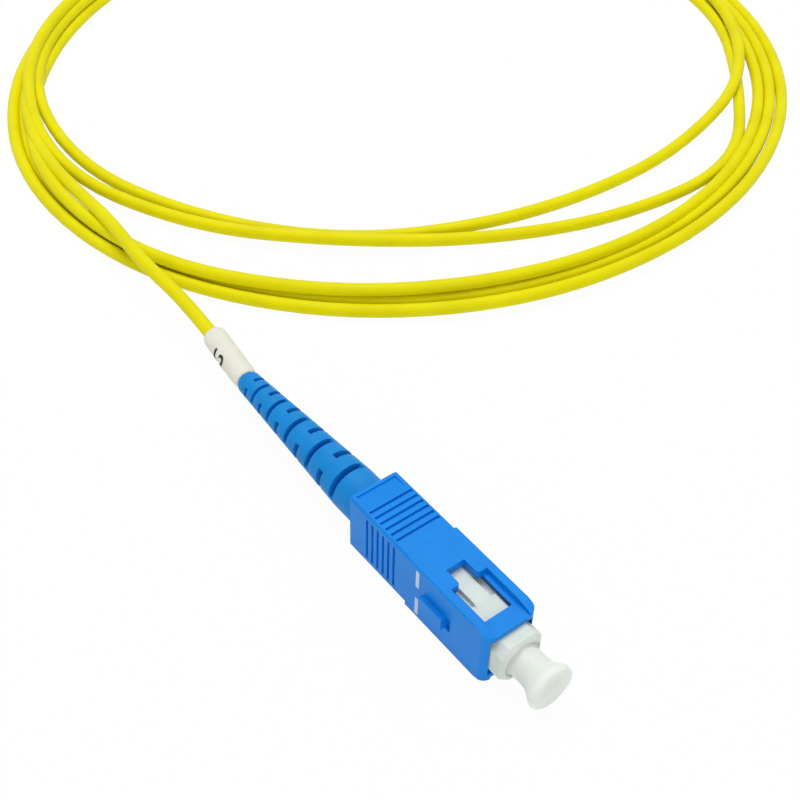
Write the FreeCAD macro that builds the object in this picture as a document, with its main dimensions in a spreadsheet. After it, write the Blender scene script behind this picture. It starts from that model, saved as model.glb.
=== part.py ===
import FreeCAD, Part
import math
import os
import re
import Sketcher

# A simplex SC fibre connector on the end of a coiled cord, in millimetres.
# +X runs along the plug to the ferrule's tip, +Z is up, the key is on the -Y side.
# The origin is on the floor under the plug's axis, where the grip housing rests.

Vector = FreeCAD.Vector

SIZES = {
    # grip housing: the sliding outer sleeve
    "plug_width": 7.4,
    "plug_height": 9.0,
    "grip_front": 12.5,
    "grip_step": 1.7,
    "handle_length": 11.3,
    "handle_width": 7.06,
    "handle_height": 8.8,
    "handle_round": 0.4,
    "handle_bevel": 0.25,
    "plug_bevel": 0.15,
    "mouth_round": 1.1,
    "rail_taper": 2.4,
    "rail_drop": 0.55,
    "cavity_height": 6.6,
    "bridge_length": 2.4,
    "bridge_thickness": 0.7,
    "window_width": 4.0,
    "window_length": 5.15,
    "ledge_width": 0.6,
    "ledge_depth": 0.85,
    "neck_width": 2.6,
    "neck_length": 2.45,
    "neck_round": 0.35,
    "groove_count": 6,
    "groove_pitch": 1.03,
    "groove_width": 0.42,
    "groove_depth": 0.3,
    "groove_margin": 0.9,
    "groove_end": 0.4,
    "last_groove": 2.5,
    "thumb_length": 2.45,
    "thumb_depth": 0.22,
    "thumb_rim": 0.65,
    "key_length": 4.0,
    "key_height": 0.7,
    "key_width": 1.9,
    "key_start": 1.6,
    "keyhole_length": 0.8,
    "keyhole_width": 2.2,
    "keyhole_depth": 0.4,
    "rear_bore_length": 3.2,
    # running and resting gaps
    "slide_gap": 0.1,
    "bridge_gap": 0.05,
    "stop_gap": 0.05,
    "collar_gap": 0.07,
    "cap_gap": 0.03,
    "fibre_gap": 0.05,
    "crimp_gap": 0.05,
    "jacket_gap": 0.15,
    # inner housing: the white plug body
    "inner_width": 5.9,
    "inner_height": 5.8,
    "inner_tail_width": 5.3,
    "inner_tail": 6.5,
    "stop_back": 1.4,
    "nose_reach": 2.1,
    "corner_cut": 1.1,
    "nose_bevel": 0.5,
    "nose_bore": 2.5,
    "nose_depth": 5.5,
    "partition": 0.8,
    "partition_bore": 1.5,
    "spring_chamber": 2.35,
    "rib_width": 2.2,
    "rib_height": 0.3,
    "rib_start": 1.5,
    "rib_end": 7.2,
    "rib_ramp": 0.8,
    "pocket_start": 4.0,
    "pocket_end": 7.4,
    "pocket_depth": 0.4,
    # ferrule, its flange, spring and fibre
    "ferrule_radius": 1.2495,
    "ferrule_length": 10.5,
    "ferrule_reach": 2.0,
    "ferrule_chamfer": 0.35,
    "glass_radius": 0.0625,
    "collar_length": 2.95,
    "collar_slot_width": 0.9,
    "collar_slot_depth": 0.45,
    "hub_radius": 1.3,
    "hub_length": 2.2,
    "tail_radius": 0.9,
    "tail_length": 7.0,
    "buffer_radius": 0.45,
    "buffer_start": 0.4,
    "buffer_length": 43.5,
    "spring_radius": 1.65,
    "spring_wire": 0.4,
    "spring_turns": 4,
    # rear body, crimp sleeve and yarn
    "sleeve_wall": 0.35,
    "sleeve_length": 5.0,
    "spring_seat": 1.0,
    "rear_bore": 1.1,
    "shoulder_length": 1.5,
    "shoulder_width": 5.2,
    "shoulder_height": 5.6,
    "barrel_radius": 1.8,
    "barrel_length": 7.2,
    "yarn_thickness": 0.15,
    "crimp_wall": 0.3,
    "crimp_length": 7.6,
    "crimp_cone": 1.2,
    "crimp_tail": 3.2,
    "crimp_tail_wall": 0.35,
    # cord, boot, marker sleeve
    "cord_radius": 1.0,
    "jacket_bore": 0.6,
    "boot_length": 32.7,
    "boot_neck": 2.6,
    "boot_neck_length": 4.0,
    "boot_collar": 3.1,
    "boot_collar_length": 5.0,
    "boot_tail": 1.65,
    "boot_tail_round": 0.5,
    "boot_gap": 0.05,
    "slot_count": 5,
    "first_slot": 2.2,
    "slot_pitch": 1.7,
    "slot_growth": 0.161,
    "slot_share": 0.3,
    "slot_angle": 132,
    "slot_turn": 30,
    "core_wall": 0.25,
    "marker_radius": 1.7,
    "marker_gap": 0.15,
    "marker_start": 0.3,
    "marker_length": 10.0,
    # dust cap
    "cap_skirt": 2.1,
    "cap_cover": 5.7,
    "cap_stop": 0.05,
    "cap_flare": 3.0,
    "cap_neck": 0.5,
    "cap_cone": 1.2,
    "cap_rim": 1.2,
    "cap_dome": 0.2,
    # the coil that the cord lies in
    "bundle_radius": 66.4,
    "bundle_stretch": 5.85,
    "bundle_width": 6.3,
    "bundle_height": 3.0,
    "pair_radius": 57.2,
    "pair_stretch": 7.1,
    "pair_width": 4.3,
    "pair_height": 2.5,
    "pair_shift": 8.4,
    "pair_rise": 1.3,
    "coil_back": 55.1,
    "coil_side": 69.8,
}

# Places along the plug's axis, measured from the origin, and sizes that follow others.
PLACES = {
    "axis_height": "plug_height / 2",
    "grip_rear": "-grip_step - handle_length",
    "cavity_step": "-stop_back - stop_gap",
    "window_front": "grip_front - bridge_length",
    "window_rear": "window_front - window_length",
    "bridge_under": "inner_height / 2 + bridge_gap",
    "bridge_top": "bridge_under + bridge_thickness",
    "rear_bore_end": "grip_rear + rear_bore_length",
    "nose_front": "grip_front + nose_reach",
    "partition_front": "nose_front - nose_depth",
    "partition_rear": "partition_front - partition",
    "ferrule_tip": "nose_front + ferrule_reach",
    "ferrule_rear": "ferrule_tip - ferrule_length",
    "collar_front": "partition_rear - stop_gap",
    "collar_rear": "collar_front - collar_length",
    "hub_rear": "collar_rear - hub_length",
    "flange_rear": "hub_rear - tail_length",
    "flange_bore": "buffer_radius + fibre_gap",
    "buffer_front": "ferrule_rear - buffer_start",
    "shoulder_front": "-inner_tail",
    "shoulder_rear": "shoulder_front - shoulder_length",
    "sleeve_front": "shoulder_front + sleeve_length",
    "seat_front": "shoulder_front + spring_seat",
    "barrel_rear": "shoulder_rear - barrel_length",
    "crimp_bore": "barrel_radius + yarn_thickness",
    "crimp_radius": "crimp_bore + crimp_wall",
    "crimp_rear": "shoulder_rear - crimp_length",
    "crimp_tail_front": "crimp_rear - crimp_cone",
    "crimp_tail_rear": "crimp_tail_front - crimp_tail",
    "crimp_tail_radius": "cord_radius + crimp_tail_wall",
    "jacket_front": "crimp_tail_front + jacket_gap",
    "jacket_rear": "boot_rear + jacket_gap",
    "boot_front": "shoulder_rear",
    "boot_rear": "boot_front - boot_length",
    "collar_edge": "boot_front - boot_neck_length",
    "cone_front": "collar_edge - boot_collar_length",
    "cap_rear": "ferrule_tip - cap_cover",
    "cap_bottom": "ferrule_tip + cap_stop",
    "cap_neck_front": "cap_bottom + cap_neck",
    "cap_flare_front": "cap_neck_front + cap_cone",
    "cap_front": "cap_flare_front + cap_rim",
}

# The cord's route from the boot's tail to the coil: how far behind the tail, how far to
# the +Y side, and how high above the floor. It leaves level, passes over the coil in a
# low hump and comes down into it.
CORD_ROUTE = [
    (0, 0, 4.5),
    (-15.9, 1.9, 4.6),
    (-29.8, 1.4, 7.0),
    (-55.6, 3.9, 7.0),
    (-81.8, 9.9, 2.4),
]

TINY = 1e-4

doc = FreeCAD.newDocument("Connector")
sheet = doc.addObject("Spreadsheet::Sheet", "Sizes")
for row, (alias, value) in enumerate(SIZES.items(), start=1):
    sheet.set(f"A{row}", alias)
    sheet.set(f"B{row}", str(value))
    sheet.setAlias(f"B{row}", alias)
doc.recompute()

pieces = []


def formula(text):
    """An expression in the sheet's names, with each place spelled out in sizes."""
    def spell(found):
        word = found.group()
        if word in PLACES:
            return "(" + formula(PLACES[word]) + ")"
        return "Sizes." + word if word in SIZES else word
    return re.sub(r"[a-z_]+", spell, str(text))


def size(alias):
    """The value of one cell, as a plain number."""
    return float(getattr(sheet, alias))


# ---- sketches and features ----

def new_body(label, height="axis_height"):
    """A body on the plug's axis: its own X axis runs along the plug."""
    body = doc.addObject("PartDesign::Body", label)
    body.Label = label
    body.setExpression("Placement.Base.z", formula(height))
    pieces.append(body)
    return body


def new_sketch(body, name, plane, offset=0, turn=0):
    """An empty sketch on one of the body's origin planes, offset along its normal."""
    sketch = body.newObject("Sketcher::SketchObject", name)
    planes = {item.Role: item for item in body.Origin.OriginFeatures}
    sketch.AttachmentSupport = [(planes[plane + "_Plane"], "")]
    sketch.MapMode = "FlatFace"
    if turn:
        sketch.setExpression("AttachmentOffset.Rotation.Angle", formula(turn))
        sketch.AttachmentOffset = FreeCAD.Placement(Vector(), FreeCAD.Rotation(Vector(1, 0, 0), 1))
    sketch.setExpression("AttachmentOffset.Base.z", formula(offset))
    return sketch


def draw(sketch, corners):
    """Add one closed outline whose corners are bound to the sheet."""
    count = len(corners)
    first = sketch.GeometryCount
    ring = [Vector(math.cos(2 * math.pi * k / count), math.sin(2 * math.pi * k / count), 0)
            for k in range(count)]
    for k in range(count):
        sketch.addGeometry(Part.LineSegment(ring[k], ring[(k + 1) % count]))
    for k in range(count):
        sketch.addConstraint(Sketcher.Constraint("Coincident", first + k, 2, first + (k + 1) % count, 1))
    for k, place in enumerate(corners):
        for axis, distance in zip("XY", place):
            start = getattr(ring[k], axis.lower())
            rule = Sketcher.Constraint("Distance" + axis, -1, 1, first + k, 1, start)
            number = sketch.addConstraint(rule)
            sketch.setExpression(f"Constraints[{number}]", formula(distance))


def draw_rounded(sketch, width, height, radius):
    """Add a rectangle centred on the axis, with round corners tangent to its sides."""
    sides = [((-1, 2), (1, 2)), ((2, 1), (2, -1)), ((1, -2), (-1, -2)), ((-2, -1), (-2, 1))]
    for start, end in sides:
        sketch.addGeometry(Part.LineSegment(Vector(*start), Vector(*end)))
    for middle, first in (((1, 1), 0), ((1, -1), -90), ((-1, -1), 180), ((-1, 1), 90)):
        corner = Part.Circle(Vector(*middle), Vector(0, 0, 1), 1)
        turn = math.radians(first)
        sketch.addGeometry(Part.ArcOfCircle(corner, turn, turn + math.pi / 2))
    for k in range(4):
        sketch.addConstraint(Sketcher.Constraint("Tangent", k, 2, 4 + k, 2))
        sketch.addConstraint(Sketcher.Constraint("Tangent", 4 + k, 1, (k + 1) % 4, 1))
        sketch.addConstraint(Sketcher.Constraint("Vertical" if k % 2 else "Horizontal", k))
    for k in range(1, 4):
        sketch.addConstraint(Sketcher.Constraint("Equal", 4, 4 + k))
    half_width, half_height = f"({width}) / 2", f"({height}) / 2"
    rules = (
        (Sketcher.Constraint("Radius", 4, 1), radius),
        (Sketcher.Constraint("DistanceY", -1, 1, 0, 1, 2), half_height),
        (Sketcher.Constraint("DistanceX", -1, 1, 1, 1, 2), half_width),
        (Sketcher.Constraint("DistanceY", 2, 1, -1, 1, 2), half_height),
        (Sketcher.Constraint("DistanceX", 3, 1, -1, 1, 2), half_width),
    )
    for rule, value in rules:
        number = sketch.addConstraint(rule)
        sketch.setExpression(f"Constraints[{number}]", formula(value))


def box(left, right, low, high):
    """The corners of a rectangle."""
    return [(left, low), (right, low), (right, high), (left, high)]


def across(width, height):
    """The corners of a rectangle centred on the axis."""
    return box(f"-({width}) / 2", f"({width}) / 2", f"-({height}) / 2", f"({height}) / 2")


def add_feature(body, kind, name, sketch, removes, mode=None, **settings):
    """A sketch-based feature. One that cuts has to take material away."""
    before = body.Shape.Volume if body.Tip else 0
    feature = body.newObject("PartDesign::" + kind, name)
    feature.Profile = sketch
    if mode:
        feature.Mode = mode
    for setting, value in settings.items():
        if isinstance(value, str):
            feature.setExpression(setting, formula(value))
        else:
            setattr(feature, setting, value)
    doc.recompute()
    if removes and body.Shape.Volume > before - TINY:
        raise RuntimeError(name + " cuts nothing")
    return feature


def pad(body, name, plane, corners, start, end):
    """Material between two distances along the plane's normal."""
    sketch = new_sketch(body, name + "_sketch", plane, start)
    draw(sketch, corners)
    return add_feature(body, "Pad", name, sketch, False, Length=f"({end}) - ({start})")


def rounded_pad(body, name, width, height, radius, start, end):
    """A bar along the plug's axis with round corners."""
    sketch = new_sketch(body, name + "_sketch", "YZ", start)
    draw_rounded(sketch, width, height, radius)
    return add_feature(body, "Pad", name, sketch, False, Length=f"({end}) - ({start})")


def pocket(body, name, plane, corners, start, end):
    """A cut between two distances along the plane's normal."""
    return pockets(body, name, plane, [corners], start, end)


def pockets(body, name, plane, outlines, start, end):
    """Cuts of several outlines between two distances along the plane's normal."""
    sketch = new_sketch(body, name + "_sketch", plane, start)
    for corners in outlines:
        draw(sketch, corners)
    return add_feature(body, "Pocket", name, sketch, True, Length=f"({end}) - ({start})", Reversed=True)


def round_pocket(body, name, radius, start, end):
    """A round hole along the plug's axis."""
    sketch = new_sketch(body, name + "_sketch", "YZ", start)
    sketch.addGeometry(Part.Circle(Vector(), Vector(0, 0, 1), 1))
    sketch.addConstraint(Sketcher.Constraint("Coincident", 0, 3, -1, 1))
    sketch.addConstraint(Sketcher.Constraint("Radius", 0, 1))
    sketch.setExpression("Constraints[1]", formula(radius))
    return add_feature(body, "Pocket", name, sketch, True, Length=f"({end}) - ({start})", Reversed=True)


def turned(label, corners):
    """A body turned round the plug's axis; corners are (place along it, radius)."""
    body = new_body(label)
    sketch = new_sketch(body, label + "_profile", "XZ")
    draw(sketch, corners)
    add_feature(body, "Revolution", label + "_turned", sketch, False,
                ReferenceAxis=(sketch, ["H_Axis"]), Angle=360.0)
    return body


def turned_groove(body, name, outlines, angle, turn):
    """A cut turned round the plug's axis, centred on the sketch's plane."""
    sketch = new_sketch(body, name + "_sketch", "XZ", turn=turn)
    for corners in outlines:
        draw(sketch, corners)
    return add_feature(body, "Groove", name, sketch, True,
                       ReferenceAxis=(sketch, ["H_Axis"]), Angle=angle, Midplane=True)


def edges_where(shape, wanted):
    """The names of the edges that a test picks."""
    return [f"Edge{k}" for k, edge in enumerate(shape.Edges, start=1) if wanted(edge)]


def soften(body, name, radius, wanted, kind="Fillet"):
    """Round or bevel the picked edges of the body as it is so far."""
    base = body.Tip
    feature = body.newObject("PartDesign::" + kind, name)
    feature.Base = (base, edges_where(base.Shape, wanted))
    feature.setExpression("Radius" if kind == "Fillet" else "Size", formula(radius))
    doc.recompute()


def runs_along(edge, axis):
    """Whether a straight edge runs along X, Y or Z."""
    spans = {"X": edge.BoundBox.XLength, "Y": edge.BoundBox.YLength, "Z": edge.BoundBox.ZLength}
    return all((spans[key] < TINY) != (key == axis) for key in spans)


# ---- grip housing ----

def make_grip_housing():
    body = new_body("grip_housing")
    pad(body, "plug", "YZ", across("plug_width", "plug_height"), "-grip_step", "grip_front")
    soften(body, "mouth_corners", "mouth_round",
           lambda edge: runs_along(edge, "Z") and edge.BoundBox.XMin > size("grip_front") - TINY)
    soften(body, "plug_edges", "plug_bevel", lambda edge: runs_along(edge, "X"), "Chamfer")
    rounded_pad(body, "handle", "handle_width", "handle_height", "handle_round", "grip_rear", "-grip_step")
    soften(body, "handle_end", "handle_bevel",
           lambda edge: edge.BoundBox.XMax < -size("grip_step") - size("handle_length") + TINY, "Chamfer")
    cut_grip_rails(body)
    cut_grip_cavities(body)
    cut_grip_windows(body)
    cut_grip_grooves(body)
    add_grip_key(body)


def cut_grip_rails(body):
    """The top and bottom slope inwards towards the mouth."""
    for side, name in ((1, "top"), (-1, "bottom")):
        surface = f"{side} * plug_height / 2"
        wedge = [
            ("grip_front - rail_taper", surface),
            ("grip_front + rail_taper", surface),
            ("grip_front + rail_taper", f"{surface} - {side} * rail_drop * 2"),
        ]
        pocket(body, name + "_rail", "XZ", wedge, "-plug_width / 2", "plug_width / 2")


def cut_grip_cavities(body):
    """The bore for the boot's collar and the stepped cavity for the inner housing."""
    tail_width = "inner_tail_width + 2 * slide_gap"
    main_width = "inner_width + 2 * slide_gap"
    round_pocket(body, "rear_bore", "boot_collar + slide_gap", "grip_rear", "rear_bore_end")
    pocket(body, "tail_cavity", "YZ", across(tail_width, "cavity_height"), "rear_bore_end", "cavity_step")
    pocket(body, "main_cavity", "YZ", across(main_width, "cavity_height"), "cavity_step", "window_front")
    pocket(body, "mouth", "YZ", across(main_width, "2 * bridge_under"), "window_front", "grip_front")


def cut_grip_windows(body):
    """T-shaped windows top and bottom, with a ledge, and the channel in front of each."""
    half_window = "window_width / 2"
    half_neck = "neck_width / 2"
    opening = [
        ("window_front", f"-{half_window}"),
        ("window_front", half_window),
        ("window_rear", half_window),
        ("window_rear", half_neck),
        ("window_rear - neck_length", half_neck),
        ("window_rear - neck_length", f"-{half_neck}"),
        ("window_rear", f"-{half_neck}"),
        ("window_rear", f"-{half_window}"),
    ]
    pocket(body, "windows", "XY", opening, "-plug_height", "plug_height")
    soften(body, "neck_shoulders", "neck_round",
           lambda edge: runs_along(edge, "Z") and is_neck_shoulder(edge))
    wide = "window_width / 2 + ledge_width"
    ledge = "plug_height / 2 - ledge_depth"
    for start, end, name in ((ledge, "plug_height", "top"), ("-plug_height", f"-({ledge})", "bottom")):
        outline = box("window_rear", "window_front", f"-({wide})", wide)
        pocket(body, name + "_ledge", "XY", outline, start, end)
    for start, end, name in (("bridge_top", "plug_height", "top"), ("-plug_height", "-bridge_top", "bottom")):
        outline = box("window_front", "grip_front", f"-({wide})", wide)
        pocket(body, name + "_channel", "XY", outline, start, end)


def is_neck_shoulder(edge):
    """Whether an upright edge stands where the window's neck widens."""
    rear = size("grip_front") - size("bridge_length") - size("window_length")
    at_step = abs(edge.BoundBox.XMin - rear) < TINY
    return at_step and abs(abs(edge.BoundBox.YMin) - size("neck_width") / 2) < TINY


def cut_grip_grooves(body):
    """Grip grooves on all four sides of the handle, and the thumb recess behind them."""
    front = "-last_groove - grip_step + groove_width / 2"
    rear = f"{front} - groove_width"
    half_width = "handle_width / 2"
    half_height = "handle_height / 2"
    top_span = f"({half_width} - groove_end)"
    side_span = f"({half_height} - groove_margin)"
    faces = {
        "top": ("XY", top_span, f"{half_height} - groove_depth", "plug_height"),
        "bottom": ("XY", top_span, "-plug_height", f"-({half_height} - groove_depth)"),
        "key_side": ("XZ", side_span, f"{half_width} - groove_depth", "plug_height"),
        "plain_side": ("XZ", side_span, "-plug_height", f"-({half_width} - groove_depth)"),
    }
    for name, (plane, span, start, end) in faces.items():
        outlines = []
        for count in range(int(size("groove_count"))):
            back = f"{count} * groove_pitch"
            outlines.append(box(f"{rear} - {back}", f"{front} - {back}", f"-{span}", span))
        pockets(body, name + "_grooves", plane, outlines, start, end)
    for side, name in ((1, "top"), (-1, "bottom")):
        surface = f"{side} * {half_height}"
        wedge = [
            ("grip_rear + thumb_rim", f"{surface} - {side} * thumb_depth"),
            ("grip_rear + thumb_rim + thumb_length", surface),
            ("grip_rear + thumb_rim", f"{surface} + {side} * thumb_depth"),
        ]
        pocket(body, name + "_thumb", "XZ", wedge, f"-{half_width} + thumb_rim", f"{half_width} - thumb_rim")


def add_grip_key(body):
    """The key that lets the plug into an adapter one way up, and the hole in front of it."""
    key_end = "key_start + key_length"
    hole_end = f"{key_end} + keyhole_length"
    key = box("key_start", key_end, "-key_width / 2", "key_width / 2")
    hole = box(key_end, hole_end, "-keyhole_width / 2", "keyhole_width / 2")
    pad(body, "key", "XZ", key, "plug_width / 2", "plug_width / 2 + key_height")
    pocket(body, "keyhole", "XZ", hole, "plug_width / 2 - keyhole_depth", "plug_width")


# ---- inner housing ----

def make_inner_housing():
    body = new_body("inner_housing")
    pad(body, "main", "YZ", across("inner_width", "inner_height"), "-stop_back", "nose_front")
    pad(body, "tail", "YZ", across("inner_tail_width", "inner_height"), "-inner_tail", "-stop_back")
    soften(body, "corners", "corner_cut",
           lambda edge: runs_along(edge, "X") and edge.BoundBox.XMax > -size("stop_back") + TINY, "Chamfer")
    soften(body, "nose", "nose_bevel",
           lambda edge: edge.BoundBox.XMin > size("grip_front") + size("nose_reach") - TINY, "Chamfer")
    for side, name in ((1, "top"), (-1, "bottom")):
        face = f"{side} * inner_height / 2"
        crest = f"{face} + {side} * rib_height"
        foot = f"{face} - {side} * pocket_depth"
        rib = [
            ("rib_start", foot),
            ("rib_end + rib_ramp", foot),
            ("rib_end + rib_ramp", face),
            ("rib_end", crest),
            ("rib_start", crest),
        ]
        for flank, word in ((1, "left"), (-1, "right")):
            inside = f"{flank} * rib_width / 2"
            outside = f"{flank} * inner_width"
            recess = box("pocket_start", "pocket_end", inside, outside)
            low, high = (foot, "plug_height") if side > 0 else ("-plug_height", foot)
            pocket(body, f"{name}_{word}_recess", "XY", recess, low, high)
        pad(body, name + "_rib", "XZ", rib, "-rib_width / 2", "rib_width / 2")
    round_pocket(body, "nose_bore", "nose_bore", "partition_front", "nose_front")
    round_pocket(body, "partition_bore", "partition_bore", "partition_rear", "partition_front")
    round_pocket(body, "spring_chamber", "spring_chamber", "-inner_tail", "partition_rear")


# ---- ferrule assembly ----

def make_ferrule():
    turned("ferrule", [
        ("ferrule_rear", "glass_radius"),
        ("ferrule_rear", "ferrule_radius"),
        ("ferrule_tip - ferrule_chamfer", "ferrule_radius"),
        ("ferrule_tip", "ferrule_radius - ferrule_chamfer"),
        ("ferrule_tip", "glass_radius"),
    ])
    turned("glass_fibre", [
        ("buffer_front", "0"),
        ("buffer_front", "glass_radius"),
        ("ferrule_tip", "glass_radius"),
        ("ferrule_tip", "0"),
    ])


def make_ferrule_flange():
    collar_radius = "spring_chamber - collar_gap"
    body = turned("ferrule_flange", [
        ("flange_rear", "flange_bore"),
        ("flange_rear", "tail_radius"),
        ("hub_rear", "tail_radius"),
        ("hub_rear", "hub_radius"),
        ("collar_rear", "hub_radius"),
        ("collar_rear", collar_radius),
        ("collar_front", collar_radius),
        ("collar_front", "ferrule_radius"),
        ("ferrule_rear", "ferrule_radius"),
        ("ferrule_rear", "flange_bore"),
    ])
    floor = f"{collar_radius} - collar_slot_depth"
    slot = box("collar_rear + collar_slot_depth", "partition_front",
               "-collar_slot_width / 2", "collar_slot_width / 2")
    pocket(body, "top_slot", "XY", slot, floor, "plug_height")
    pocket(body, "bottom_slot", "XY", slot, "-plug_height", f"-({floor})")


def make_ferrule_spring():
    """A square wire wound between the rear body's seat and the ferrule's collar."""
    body = new_body("ferrule_spring")
    sketch = new_sketch(body, "wire", "XZ")
    draw(sketch, box("seat_front", "seat_front + spring_wire",
                     "spring_radius - spring_wire / 2", "spring_radius + spring_wire / 2"))
    add_feature(body, "AdditiveHelix", "coils", sketch, False,
                mode="height-turns-angle", ReferenceAxis=(sketch, ["H_Axis"]),
                Height="collar_rear - seat_front - spring_wire", Turns="spring_turns")


def make_buffered_fibre():
    turned("buffered_fibre", [
        ("buffer_front - buffer_length", "0"),
        ("buffer_front - buffer_length", "buffer_radius"),
        ("buffer_front", "buffer_radius"),
        ("buffer_front", "0"),
    ])


# ---- rear body, crimp and cord end ----

def make_rear_body():
    body = turned("rear_body", [
        ("barrel_rear", "rear_bore"),
        ("barrel_rear", "barrel_radius"),
        ("shoulder_front", "barrel_radius"),
        ("shoulder_front", "spring_chamber"),
        ("sleeve_front", "spring_chamber"),
        ("sleeve_front", "spring_chamber - sleeve_wall"),
        ("seat_front", "spring_chamber - sleeve_wall"),
        ("seat_front", "rear_bore"),
    ])
    pad(body, "shoulder", "YZ", across("shoulder_width", "shoulder_height"), "shoulder_rear", "shoulder_front")
    round_pocket(body, "shoulder_bore", "rear_bore", "shoulder_rear", "shoulder_front")


def make_crimp_sleeve():
    turned("crimp_sleeve", [
        ("shoulder_rear", "crimp_bore"),
        ("shoulder_rear", "crimp_radius"),
        ("crimp_rear", "crimp_radius"),
        ("crimp_tail_front", "crimp_tail_radius"),
        ("crimp_tail_rear", "crimp_tail_radius"),
        ("crimp_tail_rear", "cord_radius"),
        ("crimp_tail_front", "cord_radius"),
        ("crimp_rear", "crimp_bore"),
    ])


def make_aramid_yarn():
    """The cord's strength yarn, spread out of the jacket over the barrel under the crimp."""
    inside = "buffer_radius + fibre_gap"
    turned("aramid_yarn", [
        ("jacket_rear", inside),
        ("jacket_rear", "jacket_bore"),
        ("jacket_front", "jacket_bore"),
        ("barrel_rear", "crimp_bore"),
        ("shoulder_rear - 1", "crimp_bore"),
        ("shoulder_rear - 1", "barrel_radius"),
        ("barrel_rear", "barrel_radius"),
        ("jacket_front", inside),
    ])


def make_cord_jacket():
    turned("cord_jacket", [
        ("jacket_rear", "jacket_bore"),
        ("jacket_rear", "cord_radius"),
        ("jacket_front", "cord_radius"),
        ("jacket_front", "jacket_bore"),
    ])


# ---- boot and marker sleeve ----

def make_boot():
    """The segmented strain relief, bored to fit the crimp sleeve and the cord."""
    tail_bore = "cord_radius + boot_gap"
    crimp_hole = "crimp_radius + boot_gap"
    grip_hole = "crimp_tail_radius + boot_gap"
    body = turned("boot", [
        ("boot_rear", tail_bore),
        ("boot_rear", "boot_tail - boot_tail_round / 2"),
        ("boot_rear + boot_tail_round", "boot_tail"),
        ("cone_front", "boot_collar"),
        ("collar_edge", "boot_collar"),
        ("collar_edge", "boot_neck"),
        ("boot_front", "boot_neck"),
        ("boot_front", crimp_hole),
        ("crimp_rear", crimp_hole),
        ("crimp_tail_front", grip_hole),
        ("crimp_tail_rear", grip_hole),
        ("crimp_tail_rear - crimp_gap", grip_hole),
        ("crimp_tail_rear - crimp_cone", tail_bore),
    ])
    slots = int(size("slot_count"))
    for turn, first, name in ((0, 1, "upper"), (90, 0, "flank")):
        outlines = [slot_outline(2 * count + first) for count in range(slots)]
        groove = turned_groove(body, name + "_slots", outlines, "slot_angle", f"slot_turn + {turn}")
        opposite = body.newObject("PartDesign::PolarPattern", name + "_slots_all")
        opposite.Originals = [groove]
        axes = {item.Role: item for item in body.Origin.OriginFeatures}
        opposite.Axis = (axes["X_Axis"], [""])
        opposite.Occurrences = 2
        body.Tip = opposite
        doc.recompute()


def slot_outline(count):
    """One slot of the boot: the gaps between slots grow steadily towards the plug."""
    middle = f"(boot_rear + first_slot + {count} * slot_pitch + {count * (count - 1) / 2} * slot_growth)"
    half = f"(slot_share * (slot_pitch + {count} * slot_growth) / 2)"
    along = f"(({middle} - boot_rear) / (cone_front - boot_rear))"
    core = f"cord_radius + core_wall + (crimp_tail_wall + boot_gap) * {along}"
    return box(f"{middle} - {half}", f"{middle} + {half}", core, "boot_collar + 1")


def make_marker_sleeve():
    """The printed sleeve on the cord, in line with the cord's first run."""
    body = turned("marker_sleeve", [
        ("marker_start", "cord_radius + marker_gap"),
        ("marker_start", "marker_radius"),
        ("marker_start + marker_length", "marker_radius"),
        ("marker_start + marker_length", "cord_radius + marker_gap"),
    ])
    exit_point, next_point = (Vector(*point) for point in CORD_ROUTE[:2])
    body.setExpression("Placement.Base.x", formula("boot_rear"))
    height = body.Placement.Base.z
    body.Placement.Rotation = FreeCAD.Rotation(Vector(1, 0, 0), next_point - exit_point)
    body.Placement.Base.z = height


# ---- dust cap ----

def make_dust_cap():
    turned("dust_cap", [
        ("cap_rear", "ferrule_radius + cap_gap"),
        ("cap_rear", "cap_skirt"),
        ("cap_neck_front", "cap_skirt"),
        ("cap_flare_front", "cap_flare"),
        ("cap_front - cap_dome", "cap_flare"),
        ("cap_front", "cap_flare - 2 * cap_dome"),
        ("cap_front", "0"),
        ("cap_bottom", "0"),
        ("cap_bottom", "ferrule_radius + cap_gap"),
    ])


# ---- cord ----

def make_cord_lead():
    """A tube along straight runs joined by tangent arcs, each as large as its runs allow."""
    points = [Vector(*point) for point in CORD_ROUTE]
    edges = []
    start = points[0]
    for before, corner, after in zip(points, points[1:], points[2:]):
        inward = (corner - before).normalize()
        outward = (after - corner).normalize()
        shorter = min((corner - before).Length, (after - corner).Length)
        reach = 0.45 * shorter
        turn = inward.getAngle(outward)
        print(f"cord bend {math.degrees(turn):.1f} degrees, radius {reach / math.tan(turn / 2):.1f}")
        arc_start = corner - inward * reach
        arc_end = corner + outward * reach
        bisector = (outward - inward).normalize()
        radius = reach / math.tan(turn / 2)
        middle = corner + bisector * (radius / math.cos(turn / 2) - radius)
        edges.append(Part.LineSegment(start, arc_start).toShape())
        edges.append(Part.Arc(arc_start, middle, arc_end).toShape())
        start = arc_end
    edges.append(Part.LineSegment(start, points[-1]).toShape())
    path = Part.Wire(edges)
    ring = Part.Circle(points[0], points[1] - points[0], size("cord_radius")).toShape()
    tube = path.makePipeShell([Part.Wire(ring)], True, False)
    section = math.pi * size("cord_radius") ** 2
    print(f"cord lead {path.Length:.1f} long, volume ratio {tube.Volume / (section * path.Length):.4f}")
    lead = doc.addObject("Part::Feature", "cord_lead")
    lead.Shape = tube
    lead.Label = "cord_lead"
    lead.setExpression("Placement.Base.x", formula("boot_rear"))
    pieces.append(lead)


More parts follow.
